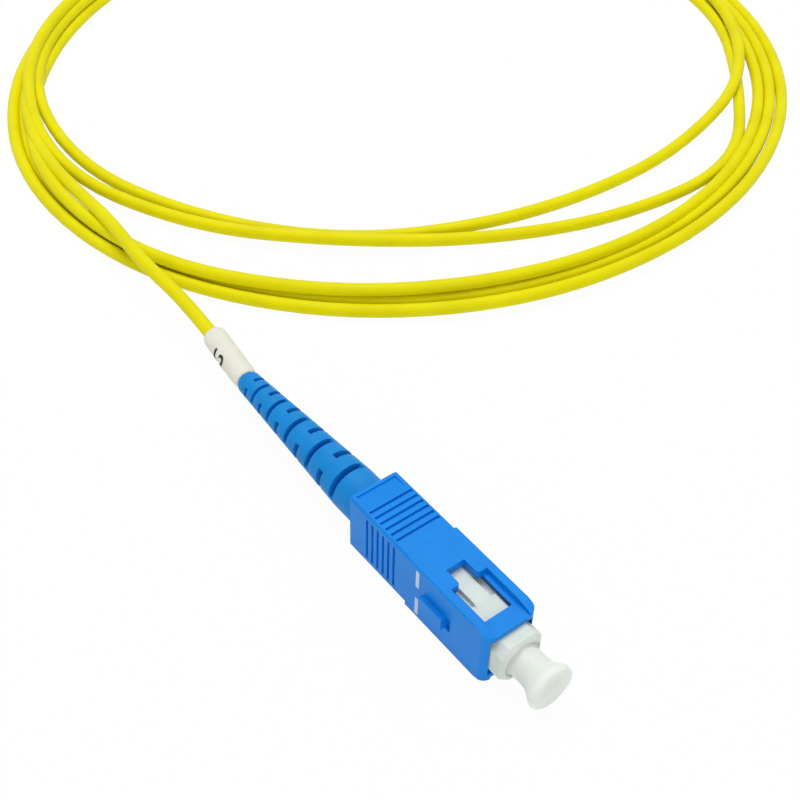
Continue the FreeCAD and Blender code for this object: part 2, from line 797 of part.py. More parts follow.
def oval_ring(name, shift, rise):
    """A flat oval ring on the floor, longer along Y than along X."""
    solids = []
    for word, inset in (("outer", "0"), ("inner", f"{name}_width")):
        oval = doc.addObject("Part::Ellipse", f"{name}_{word}_oval")
        oval.setExpression("MajorRadius", formula(f"{name}_radius + {name}_stretch - {inset}"))
        oval.setExpression("MinorRadius", formula(f"{name}_radius - {inset}"))
        oval.Placement.Rotation = FreeCAD.Rotation(Vector(0, 0, 1), 90)
        oval.setExpression("Placement.Base.x", formula(f"boot_rear - coil_back - {shift}"))
        oval.setExpression("Placement.Base.y", formula(f"coil_side + {rise}"))
        disc = doc.addObject("Part::Extrusion", f"{name}_{word}")
        disc.Base = oval
        disc.Dir = Vector(0, 0, 1)
        disc.DirMode = "Custom"
        disc.setExpression("LengthFwd", formula(f"{name}_height"))
        disc.Solid = True
        solids.append(disc)
    ring = doc.addObject("Part::Cut", name)
    ring.Base, ring.Tool = solids
    return ring


def make_cord_coil():
    """The outer shape of the coil: the main bundle and the two strands that stray inwards."""
    bundle = oval_ring("bundle", "0", "0")
    pair = oval_ring("pair", "pair_shift", "pair_rise")
    coil = doc.addObject("Part::Fuse", "cord_coil")
    coil.Base = bundle
    coil.Tool = pair
    coil.Label = "cord_coil"
    pieces.append(coil)


make_grip_housing()
make_inner_housing()
make_ferrule()
make_ferrule_flange()
make_ferrule_spring()
make_buffered_fibre()
make_rear_body()
make_crimp_sleeve()
make_aramid_yarn()
make_cord_jacket()
make_boot()
make_marker_sleeve()
make_dust_cap()
make_cord_lead()
make_cord_coil()
doc.recompute()

for item in doc.Objects:
    if "Invalid" in item.State or "Error" in item.State:
        raise RuntimeError(item.Label + " failed")
for piece in pieces:
    if piece.Shape.isNull() or not piece.Shape.isValid():
        raise RuntimeError(piece.Label + " has no valid shape")
os.makedirs("parts", exist_ok=True)
for piece in pieces:
    piece.Shape.exportStep(f"parts/{piece.Label}.step")
    print(f"{piece.Label}: {len(piece.Shape.Solids)} solid, {piece.Shape.Volume:.2f} cubic mm")
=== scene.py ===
# A simplex SC fibre connector with its coiled cord: the looks, built round the packed
# solids. Lengths are in metres, or in millimetres where a name or comment says so.
# +X runs along the plug to the ferrule's tip, +Z is up and the floor is at Z = 0.

import bmesh
import bpy
import math
import random
from mathutils import Matrix, Vector


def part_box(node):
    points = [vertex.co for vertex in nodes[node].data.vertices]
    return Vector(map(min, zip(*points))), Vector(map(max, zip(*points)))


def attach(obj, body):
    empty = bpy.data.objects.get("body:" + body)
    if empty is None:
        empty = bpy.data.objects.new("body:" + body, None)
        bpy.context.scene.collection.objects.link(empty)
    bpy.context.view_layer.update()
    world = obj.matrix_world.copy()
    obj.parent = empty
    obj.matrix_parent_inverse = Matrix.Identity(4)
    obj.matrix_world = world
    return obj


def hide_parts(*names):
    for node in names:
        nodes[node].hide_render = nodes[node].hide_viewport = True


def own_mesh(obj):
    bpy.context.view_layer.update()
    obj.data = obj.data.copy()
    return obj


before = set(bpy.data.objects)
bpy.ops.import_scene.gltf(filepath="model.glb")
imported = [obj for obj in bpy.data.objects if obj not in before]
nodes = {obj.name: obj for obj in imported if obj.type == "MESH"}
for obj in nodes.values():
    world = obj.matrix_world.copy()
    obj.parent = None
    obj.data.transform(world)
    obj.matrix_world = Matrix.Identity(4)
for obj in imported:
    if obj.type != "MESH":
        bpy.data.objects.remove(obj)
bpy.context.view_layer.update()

MM = 0.001
# the height of the plug's axis, and where the boot ends and the cord comes out
AXIS = (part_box("ferrule")[0].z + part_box("ferrule")[1].z) / 2
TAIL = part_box("boot")[0].x
# points closer than this are one point
WELD = 0.001 * MM


# ---- materials ----

def linear(code):
    """A colour written as sRGB hex, made linear."""
    parts = [int(code[k:k + 2], 16) / 255 for k in (1, 3, 5)]
    return [p / 12.92 if p < 0.04045 else ((p + 0.055) / 1.055) ** 2.4 for p in parts] + [1]


def add_node(tree, kind, settings=(), inputs=(), stops=()):
    """Add a node with its settings, a ramp's stops, and values or other nodes' outputs on its sockets."""
    node = tree.nodes.new("ShaderNode" + kind)
    for name, value in dict(settings).items():
        setattr(node, name, value)
    for name, value in dict(inputs).items():
        if isinstance(value, bpy.types.NodeSocket):
            tree.links.new(value, node.inputs[name])
        else:
            node.inputs[name].default_value = value
    for number, (position, code) in enumerate(stops):
        node.color_ramp.elements[number].position = position
        node.color_ramp.elements[number].color = linear(code)
    return node


def new_material(name):
    """An empty material, its node tree and its object coordinates."""
    material = bpy.data.materials.new(name)
    material.use_nodes = True
    tree = material.node_tree
    tree.nodes.clear()
    return material, tree, add_node(tree, "TexCoord").outputs["Object"]


def moulded_plastic(name, light, dark, roughness, grain_mm, depth_mm, cloud_mm, gloss=0.25,
                    scatter=0.0, reach_mm=1.0):
    """A pigmented plastic: slow clouds in its colour, and the grain that its mould or die left."""
    material, tree, place = new_material(name)
    clouds = add_node(tree, "TexNoise", inputs={
        "Vector": place, "Scale": 1 / (cloud_mm * MM), "Detail": 3.0})
    colour = add_node(tree, "ValToRGB", inputs={"Fac": clouds.outputs["Fac"]},
                      stops=((0.3, dark), (0.7, light)))
    grain = add_node(tree, "TexNoise", inputs={
        "Vector": place, "Scale": 1 / (grain_mm * MM), "Detail": 2.0})
    shine = add_node(tree, "MapRange", inputs={
        "Value": grain.outputs["Fac"], "To Min": roughness - 0.07, "To Max": roughness + 0.07})
    bump = add_node(tree, "Bump", inputs={
        "Height": grain.outputs["Fac"], "Strength": 0.6, "Distance": depth_mm * MM})
    shader = add_node(tree, "BsdfPrincipled", inputs={
        "Base Color": colour.outputs["Color"], "Roughness": shine.outputs["Result"],
        "Normal": bump.outputs["Normal"], "IOR": 1.5, "Specular IOR Level": gloss,
        "Subsurface Weight": scatter, "Subsurface Radius": (1.0, 1.0, 1.0),
        "Subsurface Scale": reach_mm * MM})
    add_node(tree, "OutputMaterial", inputs={"Surface": shader.outputs["BSDF"]})
    return material


def turned_metal(name, light, dark, roughness, mark_mm, depth_mm):
    """Metal off a lathe or a draw die: fine rings round the plug's axis, dull in places."""
    material, tree, place = new_material(name)
    rings = add_node(tree, "TexWave", {"bands_direction": "X"}, {
        "Vector": place, "Scale": 1 / (mark_mm * MM), "Distortion": 1.5, "Detail": 2.0})
    haze = add_node(tree, "TexNoise", inputs={
        "Vector": place, "Scale": 1 / (0.8 * MM), "Detail": 3.0})
    colour = add_node(tree, "ValToRGB", inputs={"Fac": haze.outputs["Fac"]},
                      stops=((0.3, dark), (0.7, light)))
    shine = add_node(tree, "MapRange", inputs={
        "Value": haze.outputs["Fac"], "To Min": roughness - 0.06, "To Max": roughness + 0.1})
    bump = add_node(tree, "Bump", inputs={
        "Height": rings.outputs["Fac"], "Strength": 0.3, "Distance": depth_mm * MM})
    shader = add_node(tree, "BsdfPrincipled", inputs={
        "Base Color": colour.outputs["Color"], "Metallic": 1.0,
        "Roughness": shine.outputs["Result"], "Normal": bump.outputs["Normal"]})
    add_node(tree, "OutputMaterial", inputs={"Surface": shader.outputs["BSDF"]})
    return material


def fired_ceramic(name, light, dark):
    """Zirconia, ground and polished: a wet gloss over clouds and faint grinding rings."""
    material, tree, place = new_material(name)
    rings = add_node(tree, "TexWave", {"bands_direction": "X"}, {
        "Vector": place, "Scale": 1 / (0.15 * MM), "Distortion": 0.6})
    clouds = add_node(tree, "TexNoise", inputs={"Vector": place, "Scale": 1 / (2.5 * MM)})
    colour = add_node(tree, "ValToRGB", inputs={"Fac": clouds.outputs["Fac"]},
                      stops=((0.3, dark), (0.7, light)))
    bump = add_node(tree, "Bump", inputs={
        "Height": rings.outputs["Fac"], "Strength": 0.2, "Distance": 0.001 * MM})
    shader = add_node(tree, "BsdfPrincipled", inputs={
        "Base Color": colour.outputs["Color"], "Roughness": 0.12, "Normal": bump.outputs["Normal"],
        "IOR": 2.1, "Specular IOR Level": 0.4, "Subsurface Weight": 0.1,
        "Subsurface Radius": (1.0, 0.9, 0.8), "Subsurface Scale": 0.5 * MM})
    add_node(tree, "OutputMaterial", inputs={"Surface": shader.outputs["BSDF"]})
    return material


def spun_aramid(name, light, dark):
    """Aramid yarn: filaments along the cord, finer than they are drawn here."""
    material, tree, place = new_material(name)
    along = add_node(tree, "Mapping", inputs={"Vector": place, "Scale": (0.15, 1.0, 1.0)})
    strands = add_node(tree, "TexNoise", inputs={
        "Vector": along.outputs["Vector"], "Scale": 1 / (0.08 * MM), "Detail": 3.0})
    colour = add_node(tree, "ValToRGB", inputs={"Fac": strands.outputs["Fac"]},
                      stops=((0.3, dark), (0.7, light)))
    bump = add_node(tree, "Bump", inputs={
        "Height": strands.outputs["Fac"], "Strength": 0.8, "Distance": 0.03 * MM})
    shader = add_node(tree, "BsdfPrincipled", inputs={
        "Base Color": colour.outputs["Color"], "Roughness": 0.45,
        "Normal": bump.outputs["Normal"], "Sheen Weight": 0.3})
    add_node(tree, "OutputMaterial", inputs={"Surface": shader.outputs["BSDF"]})
    return material


def drawn_silica(name, tint):
    """The fibre's glass, with drawing streaks too faint to see singly."""
    material, tree, place = new_material(name)
    streaks = add_node(tree, "TexNoise", inputs={"Vector": place, "Scale": 1 / (0.05 * MM)})
    shine = add_node(tree, "MapRange", inputs={
        "Value": streaks.outputs["Fac"], "To Min": 0.02, "To Max": 0.1})
    shader = add_node(tree, "BsdfPrincipled", inputs={
        "Base Color": linear(tint), "Roughness": shine.outputs["Result"], "IOR": 1.458,
        "Transmission Weight": 0.6})
    add_node(tree, "OutputMaterial", inputs={"Surface": shader.outputs["BSDF"]})
    return material


def pad_ink(name, light, dark):
    """Pad-printed ink: matt, and a little uneven where the pad lifted."""
    material, tree, place = new_material(name)
    speckle = add_node(tree, "TexNoise", inputs={
        "Vector": place, "Scale": 1 / (0.15 * MM), "Detail": 4.0})
    colour = add_node(tree, "ValToRGB", inputs={"Fac": speckle.outputs["Fac"]},
                      stops=((0.35, dark), (0.6, light)))
    bump = add_node(tree, "Bump", inputs={
        "Height": speckle.outputs["Fac"], "Strength": 0.4, "Distance": 0.004 * MM})
    shader = add_node(tree, "BsdfPrincipled", inputs={
        "Base Color": colour.outputs["Color"], "Roughness": 0.6,
        "Normal": bump.outputs["Normal"], "Specular IOR Level": 0.2})
    add_node(tree, "OutputMaterial", inputs={"Surface": shader.outputs["BSDF"]})
    return material


# ABS, moulded in a spark-eroded tool: an even, saturated blue with a satin, barely grained skin.
grip_abs = moulded_plastic("grip_abs_blue", "#068ae8", "#0483e0", roughness=0.42, grain_mm=0.16,
                           depth_mm=0.008, cloud_mm=4.0, gloss=0.15)
# Soft PVC: the same blue, a little paler and duller, because the rubbery skin scatters more.
boot_pvc = moulded_plastic("boot_soft_pvc_blue", "#148bd8", "#1084d0", roughness=0.5, grain_mm=0.2,
                           depth_mm=0.012, cloud_mm=3.0, gloss=0.15)
# PBT, unpigmented: a cool white that light enters a little, so its edges glow.
housing_pbt = moulded_plastic("inner_housing_pbt_white", "#dfe7e0", "#d6dfd7", roughness=0.38,
                              grain_mm=0.25, depth_mm=0.008, cloud_mm=2.5, scatter=0.3, reach_mm=0.6)
# Polyethylene, moulded without pigment: milky and waxy, greyer where it is thin.
cap_polyethylene = moulded_plastic("dust_cap_polyethylene_natural", "#eaf0e8", "#e4eae2",
                                   roughness=0.4, grain_mm=0.3, depth_mm=0.008, cloud_mm=3.0,
                                   scatter=0.8, reach_mm=1.6)
# PVC tube: ivory, with the dull skin of extrusion.
marker_pvc = moulded_plastic("marker_sleeve_pvc_ivory", "#eaeadc", "#e2e1d2", roughness=0.5,
                             grain_mm=0.3, depth_mm=0.012, cloud_mm=3.0, scatter=0.1, reach_mm=0.5)
# The cord's jacket, PVC extruded over yarn: bright yellow, matt, and faintly uneven to the touch.
jacket_pvc = moulded_plastic("cord_jacket_pvc_yellow", "#ebe300", "#e3da00", roughness=0.48,
                             grain_mm=0.3, depth_mm=0.003, cloud_mm=6.0, gloss=0.1)
# Nylon over the fibre: milky white and smooth.
buffer_nylon = moulded_plastic("fibre_buffer_nylon", "#eeece4", "#e6e4db", roughness=0.4,
                               grain_mm=0.3, depth_mm=0.005, cloud_mm=2.0)
# Nickel silver, turned: a pale, slightly warm metal with fine rings.
flange_metal = turned_metal("flange_nickel_silver", "#c8c4ba", "#b4afa4", roughness=0.25,
                            mark_mm=0.12, depth_mm=0.003)
# Spring steel, drawn and coiled: bluish grey with die marks.
spring_metal = turned_metal("spring_steel_drawn", "#b4b8bd", "#9a9ea4", roughness=0.28,
                            mark_mm=0.1, depth_mm=0.003)
# Brass with nickel plate: near-white metal, rings from the lathe still under the plate.
rear_metal = turned_metal("rear_body_plated_brass", "#cdc8bb", "#b9b3a4", roughness=0.3,
                          mark_mm=0.15, depth_mm=0.004)
# Annealed aluminium, squeezed in the crimp tool: soft grey and duller than the rest.
crimp_metal = turned_metal("crimp_sleeve_aluminium", "#b9bbbd", "#a5a7aa", roughness=0.38,
                           mark_mm=0.18, depth_mm=0.005)
# Zirconia ceramic, fired and polished: a dense white with the gloss of wet stone.
ferrule_zirconia = fired_ceramic("ferrule_zirconia_polished", "#f1efe8", "#e9e7df")
# Aramid, spun into yarn: gold, with a faint sheen along its filaments.
yarn_aramid = spun_aramid("strength_yarn_aramid", "#ecc84a", "#b98d1e")
# Silica glass, drawn: clear and faintly cool.
fibre_silica = drawn_silica("fibre_silica_drawn", "#e3ebee")
# White pad ink, thin enough for the blue to show through as a cool tint.
white_ink = pad_ink("depth_mark_ink_white", "#d3e2ef", "#b4cfe8")
# Black pad ink, rubbed to a dark grey in places.
black_ink = pad_ink("marker_ink_black", "#1d1f1c", "#34362f")

NODE_MATERIALS = {
    "grip_housing": grip_abs,
    "inner_housing": housing_pbt,
    "ferrule": ferrule_zirconia,
    "ferrule_flange": flange_metal,
    "ferrule_spring": spring_metal,
    "rear_body": rear_metal,
    "crimp_sleeve": crimp_metal,
    "aramid_yarn": yarn_aramid,
    "cord_jacket": jacket_pvc,
    "buffered_fibre": buffer_nylon,
    "glass_fibre": fibre_silica,
    "boot": boot_pvc,
    "marker_sleeve": marker_pvc,
    "dust_cap": cap_polyethylene,
    "cord_lead": jacket_pvc,
    "cord_coil": jacket_pvc,
}
for node_name, node_material in NODE_MATERIALS.items():
    nodes[node_name].data.materials.clear()
    nodes[node_name].data.materials.append(node_material)


# ---- what every piece is made with ----

# Shading: faces that meet at less than this angle (degrees) look like one surface.
SMOOTH_BELOW = 50
ALL_SMOOTH = 180
FLAT = 0


def finish_mesh(bm, name, smooth_below=SMOOTH_BELOW):
    """The shape as a mesh, shaded smooth where its faces meet at less than an angle."""
    for face in bm.faces:
        face.smooth = smooth_below > FLAT
    mesh = bpy.data.meshes.new(name)
    bm.to_mesh(mesh)
    bm.free()
    if smooth_below > FLAT:
        mesh.set_sharp_from_angle(angle=math.radians(smooth_below))
    return mesh


def add_piece(name, data, material, body):
    """Put a mesh or curve in the scene as a piece of its own."""
    piece = bpy.data.objects.new(name, data)
    bpy.context.scene.collection.objects.link(piece)
    piece.data.materials.append(material)
    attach(piece, body)
    return piece


def packed_surface(node):
    """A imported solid's surface, its loose triangles joined."""
    bm = bmesh.new()
    bm.from_mesh(nodes[node].data)
    bmesh.ops.remove_doubles(bm, verts=bm.verts, dist=WELD)
    return bm


def turned_shape(profile, height, steps, closed=False):
    """A profile of distances along X and radii, turned about a line along X at a height."""
    bm = bmesh.new()
    ring = [bm.verts.new((along, 0, height + radius)) for along, radius in profile]
    line = [bm.edges.new(pair) for pair in zip(ring, ring[1:])]
    if closed:
        line.append(bm.edges.new((ring[-1], ring[0])))
    bmesh.ops.spin(bm, geom=ring + line, cent=(0, 0, height), axis=(1, 0, 0), angle=2 * math.pi,
                   steps=steps, use_merge=True)
    bmesh.ops.remove_doubles(bm, verts=bm.verts, dist=WELD)
    bmesh.ops.recalc_face_normals(bm, faces=bm.faces)
    return bm


def aimed(start, direction):
    """The place of a piece that starts at a point, with its X axis in a direction."""
    return Matrix.Translation(start) @ direction.to_track_quat("X", "Z").to_matrix().to_4x4()


# ---- the plug ----

# Edges that turn by more than this are rounded, as a mould leaves them.
MOULD_EDGE = math.radians(25)


def moulded_copy(name, node, edge_mm, body):
    """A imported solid's surface with its sharp edges rounded."""
    bm = packed_surface(node)
    # each flat face is made whole, so that only the real edges are left to round
    bmesh.ops.dissolve_limit(bm, angle_limit=math.radians(1), verts=bm.verts, edges=bm.edges)
    sharp = [edge for edge in bm.edges if edge.is_manifold and edge.calc_face_angle() > MOULD_EDGE]
    bmesh.ops.bevel(bm, geom=sharp, offset=edge_mm * MM, offset_type="OFFSET", segments=2,
                    profile=0.5, affect="EDGES", clamp_overlap=True, material=-1)
    piece = add_piece(name, finish_mesh(bm, name), NODE_MATERIALS[node], body)
    even = piece.modifiers.new("even", "WEIGHTED_NORMAL")
    even.keep_sharp = True
    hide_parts(node)


# The dust cap: what its bore leaves round the ferrule, and the radii of its skirt and bead.
CAP_CLEARANCE = 0.03 * MM
CAP_SKIRT = 2.1 * MM
CAP_BEAD = 2.46 * MM


def make_dust_cap():
    """The cap that keeps the ferrule clean: a straight skirt, a waist and a flared pull."""
    rear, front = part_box("dust_cap")[0].x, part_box("dust_cap")[1].x
    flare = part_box("dust_cap")[1].z - AXIS
    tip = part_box("ferrule")[1].x
    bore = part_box("ferrule")[1].z - AXIS + CAP_CLEARANCE
    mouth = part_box("inner_housing")[1].x
    profile = [
        # the bore, closed in front of the ferrule's tip
        (tip + 0.05 * MM, 0),
        (tip + 0.05 * MM, bore),
        (rear + 0.2 * MM, bore),
        (rear, bore + 0.15 * MM),
        # the skirt
        (rear, CAP_SKIRT - 0.15 * MM),
        (rear + 0.15 * MM, CAP_SKIRT),
        # a low bead behind the mouth of the plug's nose, which keeps dust out
        (mouth - 1.1 * MM, CAP_SKIRT),
        (mouth - 0.6 * MM, CAP_BEAD),
        (mouth - 0.12 * MM, CAP_BEAD),
        (mouth + 0.08 * MM, CAP_SKIRT + 0.08 * MM),
        (mouth + 0.3 * MM, CAP_SKIRT),
        # the waist, which swells into the flare
        (tip, CAP_SKIRT),
        (tip + 0.6 * MM, CAP_SKIRT + 0.08 * MM),
        (tip + 1.1 * MM, CAP_SKIRT + 0.26 * MM),
        (tip + 1.5 * MM, CAP_SKIRT + 0.5 * MM),
        (tip + 1.85 * MM, flare - 0.14 * MM),
        (tip + 2.15 * MM, flare - 0.02 * MM),
        # the flare's soft rim and its end, with the moulding's gate in the middle
        (front - 0.5 * MM, flare),
        (front - 0.2 * MM, flare - 0.07 * MM),
        (front - 0.05 * MM, flare - 0.22 * MM),
        (front, flare - 0.5 * MM),
        (front - 0.03 * MM, 0.4 * MM),
        (front, 0.3 * MM),
        (front, 0),
    ]
    bm = turned_shape(profile, AXIS, steps=72)
    mesh = finish_mesh(bm, "dust_cap_turned")
    cap = add_piece("dust_cap_turned", mesh, cap_polyethylene, "cap")
    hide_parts("dust_cap")


def make_spring():
    """The spring behind the ferrule's flange, as a piece with a mesh of its own."""
    mesh = finish_mesh(packed_surface("ferrule_spring"), "ferrule_spring_wound")
    spring = add_piece("ferrule_spring_wound", mesh, spring_metal, "plug")
    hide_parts("ferrule_spring")
    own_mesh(spring)


# The printed dashes: their lower and upper ends (mm), their width, place along the plug and
# corners, and how thick the ink stands.
MARK_ENDS = ((0.6, 3.5), (5.5, 8.4))
MARK_WIDTH = 0.6 * MM
MARK_PLACE = 0.43 * MM
MARK_CORNER = 0.15 * MM
INK_DEPTH = 0.02 * MM


def make_depth_marks():
    """The two printed dashes on the key's side that show how deep the plug sits."""
    side = -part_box("grip_housing")[1].y
    upright = Matrix.Rotation(math.pi / 2, 3, "X")
    for number, (low, high) in enumerate(MARK_ENDS, start=1):
        bm = bmesh.new()
        bmesh.ops.create_grid(bm, x_segments=1, y_segments=1, size=0.5)
        bmesh.ops.scale(bm, verts=bm.verts, vec=(MARK_WIDTH, (high - low) * MM, 1))
        bmesh.ops.rotate(bm, verts=bm.verts, cent=(0, 0, 0), matrix=upright)
        bmesh.ops.translate(bm, verts=bm.verts, vec=(MARK_PLACE, side, (low + high) / 2 * MM))
        made = bmesh.ops.extrude_face_region(bm, geom=bm.faces[:])
        raised = [item for item in made["geom"] if isinstance(item, bmesh.types.BMVert)]
        bmesh.ops.translate(bm, verts=raised, vec=(0, -INK_DEPTH, 0))
        corners = [edge for edge in bm.edges
                   if abs(edge.verts[0].co.y - edge.verts[1].co.y) > INK_DEPTH / 2]
        bmesh.ops.bevel(bm, geom=corners, offset=MARK_CORNER, segments=3, profile=0.5,
                        affect="EDGES", material=-1)
        bmesh.ops.recalc_face_normals(bm, faces=bm.faces)
        mesh = finish_mesh(bm, "depth_mark", FLAT)
        add_piece(f"depth_mark_{number}", mesh, white_ink, "grip")


# ---- the cord and what is on it ----

CORD_RADIUS = 1.0 * MM

# The lead: how far behind the boot's tail, how far to the +Y side, how high (metres).
LEAD = [
    (0.0, 0.0, 0.0045),
    (-0.0159, 0.0019, 0.0046),
    (-0.0303, 0.0012, 0.0050),
    (-0.0415, 0.0025, 0.0046),
    (-0.0520, 0.0026, 0.0037),
    (-0.0625, 0.0030, 0.0031),
    (-0.0735, 0.0051, 0.0029),
    (-0.0850, 0.0100, 0.0028),
]

# The coil: an oval of the outermost turn's line, and how far inside it (mm) each turn
# lies at every 24 degrees, going round clockwise from the lower left, with its height.
COIL_CENTRE = (TAIL - 0.0551, 0.0698)
COIL_ACROSS = (0.0654, 0.07125)
COIL_START = -120
TURN_STEP = 24
TURNS = [
    [(1.9, 2.9), (1.9, 2.8), (2.0, 2.8), (2.2, 2.8), (3.0, 2.8), (4.4, 2.8), (6.6, 2.9), (8.7, 2.9),
     (14.8, 1.2), (18.1, 1.0), (18.7, 1.0), (17.2, 1.0), (15.3, 1.0), (9.3, 1.2), (4.2, 2.7)],
    [(3.9, 2.8), (5.6, 2.7), (6.4, 2.2), (7.0, 1.2), (7.4, 1.0), (7.8, 1.0), (7.8, 1.0), (9.6, 1.0),
     (5.1, 1.0), (10.7, 1.0), (15.3, 1.0), (15.4, 2.4), (12.3, 1.6), (5.6, 1.9), (3.3, 4.3)],
    [(3.2, 4.4), (4.0, 3.0), (4.1, 2.8), (4.6, 2.8), (5.4, 2.3), (5.8, 1.1), (5.8, 1.0), (5.3, 1.0),
     (4.6, 1.4), (3.7, 2.2), (3.0, 2.9), (2.1, 3.0), (0.9, 2.8), (2.4, 2.8), (5.0, 1.2)],
    [(5.0, 1.0), (5.0, 1.0), (4.8, 1.0), (4.5, 1.0), (4.2, 1.0), (3.9, 1.0), (3.8, 1.0), (3.2, 1.0),
     (2.9, 1.0), (2.5, 1.0), (2.1, 1.0), (2.0, 1.0), (2.1, 1.0), (2.4, 1.0), (2.9, 1.0)],
    [(3.0, 1.0), (3.0, 1.0), (2.8, 1.0), (2.5, 1.0), (2.2, 1.0), (1.9, 1.0), (1.8, 1.0), (1.2, 1.0),
     (0.7, 1.4), (-0.1, 1.8), (-1.0, 1.9), (-0.1, 1.0), (-0.2, 1.0), (0.4, 1.0), (1.0, 1.0)],
    [(1.0, 1.0), (0.9, 1.0), (0.7, 1.0), (0.3, 1.0), (1.0, 2.5), (3.0, 3.1)],
]


def coil_points():
    """The turns' points. They stand outside the line that they shape."""
    spread = 1 / math.cos(math.radians(TURN_STEP / 2))
    points = []
    angle = math.radians(COIL_START)
    for turn in TURNS:
        for inset, height in turn:
            angle -= math.radians(TURN_STEP)
            across = [(half - inset * MM) * spread for half in COIL_ACROSS]
            # the place on the oval that is seen at this angle from its centre
            reach = 1 / math.hypot(math.cos(angle) / across[0], math.sin(angle) / across[1])
            points.append((COIL_CENTRE[0] + reach * math.cos(angle),
                           COIL_CENTRE[1] + reach * math.sin(angle), height * MM))
    return points


# The marker sleeve's wall, as distance from the boot and radius (mm): shrunk on at both
# ends, and drawn in to the boot's tail at the near one.
SLEEVE_PROFILE = [(0.1, 1.03), (0.02, 1.12), (0.02, 1.42), (0.12, 1.52), (0.7, 1.64), (1.5, 1.7),
                  (9.0, 1.7), (9.7, 1.66), (10.1, 1.52), (10.28, 1.32), (10.3, 1.15), (10.2, 1.03)]
SLEEVE_RADIUS = 1.7 * MM


def make_marker_sleeve(place):
    """The short tube on the cord behind the boot."""
    profile = [(along * MM, radius * MM) for along, radius in SLEEVE_PROFILE]
    bm = turned_shape(profile, 0, steps=48, closed=True)
    bmesh.ops.transform(bm, matrix=place, verts=bm.verts)
    mesh = finish_mesh(bm, "marker_sleeve_tube")
    sleeve = add_piece("marker_sleeve_tube", mesh, marker_pvc, "plug")
    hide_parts("marker_sleeve")
    return sleeve


# The number's size, how far apart its figures are, how much its strokes are thickened, how far
# from the boot it starts, how far round from the sleeve's top its own top is, how high its ink
# is off the sleeve, and the strips that it is cut into so that it can bend.
NUMBER_SIZE = 3.1 * MM
NUMBER_SPACING = 1.15
NUMBER_WEIGHT = 0.06 * MM
NUMBER_START = 7.2 * MM
NUMBER_TOP = math.radians(46)
NUMBER_GAP = 0.01 * MM
NUMBER_STRIPS = 12


def make_marker_number(place):
    """The plain number that is printed round the sleeve, its top up and its foot below."""
    text = bpy.data.curves.new("number", "FONT")
    text.body = "12"
    text.size = NUMBER_SIZE
    text.space_character = NUMBER_SPACING
    text.offset = NUMBER_WEIGHT
    text.extrude = INK_DEPTH
    loose = bpy.data.objects.new("number", text)
    bpy.context.scene.collection.objects.link(loose)
    flat = bpy.data.meshes.new_from_object(loose)
    bpy.data.objects.remove(loose)
    bm = bmesh.new()
    bm.from_mesh(flat)
    bmesh.ops.remove_doubles(bm, verts=bm.verts, dist=WELD / 2)
    high = max(vert.co.y for vert in bm.verts)
    for cut in range(1, NUMBER_STRIPS):
        bmesh.ops.bisect_plane(bm, geom=bm.verts[:] + bm.edges[:] + bm.faces[:],
                               plane_co=(0, high * cut / NUMBER_STRIPS, 0), plane_no=(0, 1, 0))
    for vert in bm.verts:
        angle = NUMBER_TOP + (high - vert.co.y) / SLEEVE_RADIUS
        reach = SLEEVE_RADIUS + vert.co.z + NUMBER_GAP
        round_sleeve = (NUMBER_START - vert.co.x, reach * math.sin(angle), reach * math.cos(angle))
        vert.co = place @ Vector(round_sleeve)
    bmesh.ops.recalc_face_normals(bm, faces=bm.faces)
    mesh = finish_mesh(bm, "marker_number", FLAT)
    return add_piece("marker_number", mesh, black_ink, "plug")


# The cut end's buffered fibre: its size, how far its middle is past the jacket's end, and the
# width of its worn rims.
STUB_RADIUS = 0.45 * MM
STUB_LENGTH = 2.0 * MM
STUB_OUT = 0.6 * MM
STUB_EDGE = 0.06 * MM
# The yarn's filaments: how many, the turn from one to the next (radians) so that no two line
# up, how far from the fibre's middle (mm), how long (mm), how much they lean (radians),
# their radii at root and tip, and how far their middles are past the jacket's end.
FILAMENTS = 36
FILAMENT_TURN = 2.4
FILAMENT_RING = (0.52, 0.82)
FILAMENT_LENGTH = (1.2, 2.0)
FILAMENT_LEAN = (-0.2, 0.2)
FILAMENT_ROOT = 0.05 * MM
FILAMENT_TIP = 0.02 * MM
FILAMENT_OUT = 0.2 * MM


def make_fibre_stub(place):
    """The buffered fibre where it was cut."""
    bm = bmesh.new()
    bmesh.ops.create_cone(bm, cap_ends=True, segments=24, radius1=STUB_RADIUS, radius2=STUB_RADIUS,
                          depth=STUB_LENGTH)
    along = Matrix.Rotation(math.pi / 2, 3, "Y")
    bmesh.ops.rotate(bm, verts=bm.verts, cent=(0, 0, 0), matrix=along)
    bmesh.ops.translate(bm, verts=bm.verts, vec=(STUB_OUT, 0, 0))
    rims = [edge for edge in bm.edges if edge.calc_face_angle() > math.radians(60)]
    bmesh.ops.bevel(bm, geom=rims, offset=STUB_EDGE, segments=2, profile=0.5, affect="EDGES",
                    material=-1)
    bmesh.ops.transform(bm, matrix=place, verts=bm.verts)
    mesh = finish_mesh(bm, "cut_fibre_stub")
    return add_piece("cut_fibre_stub", mesh, buffer_nylon, "plug")


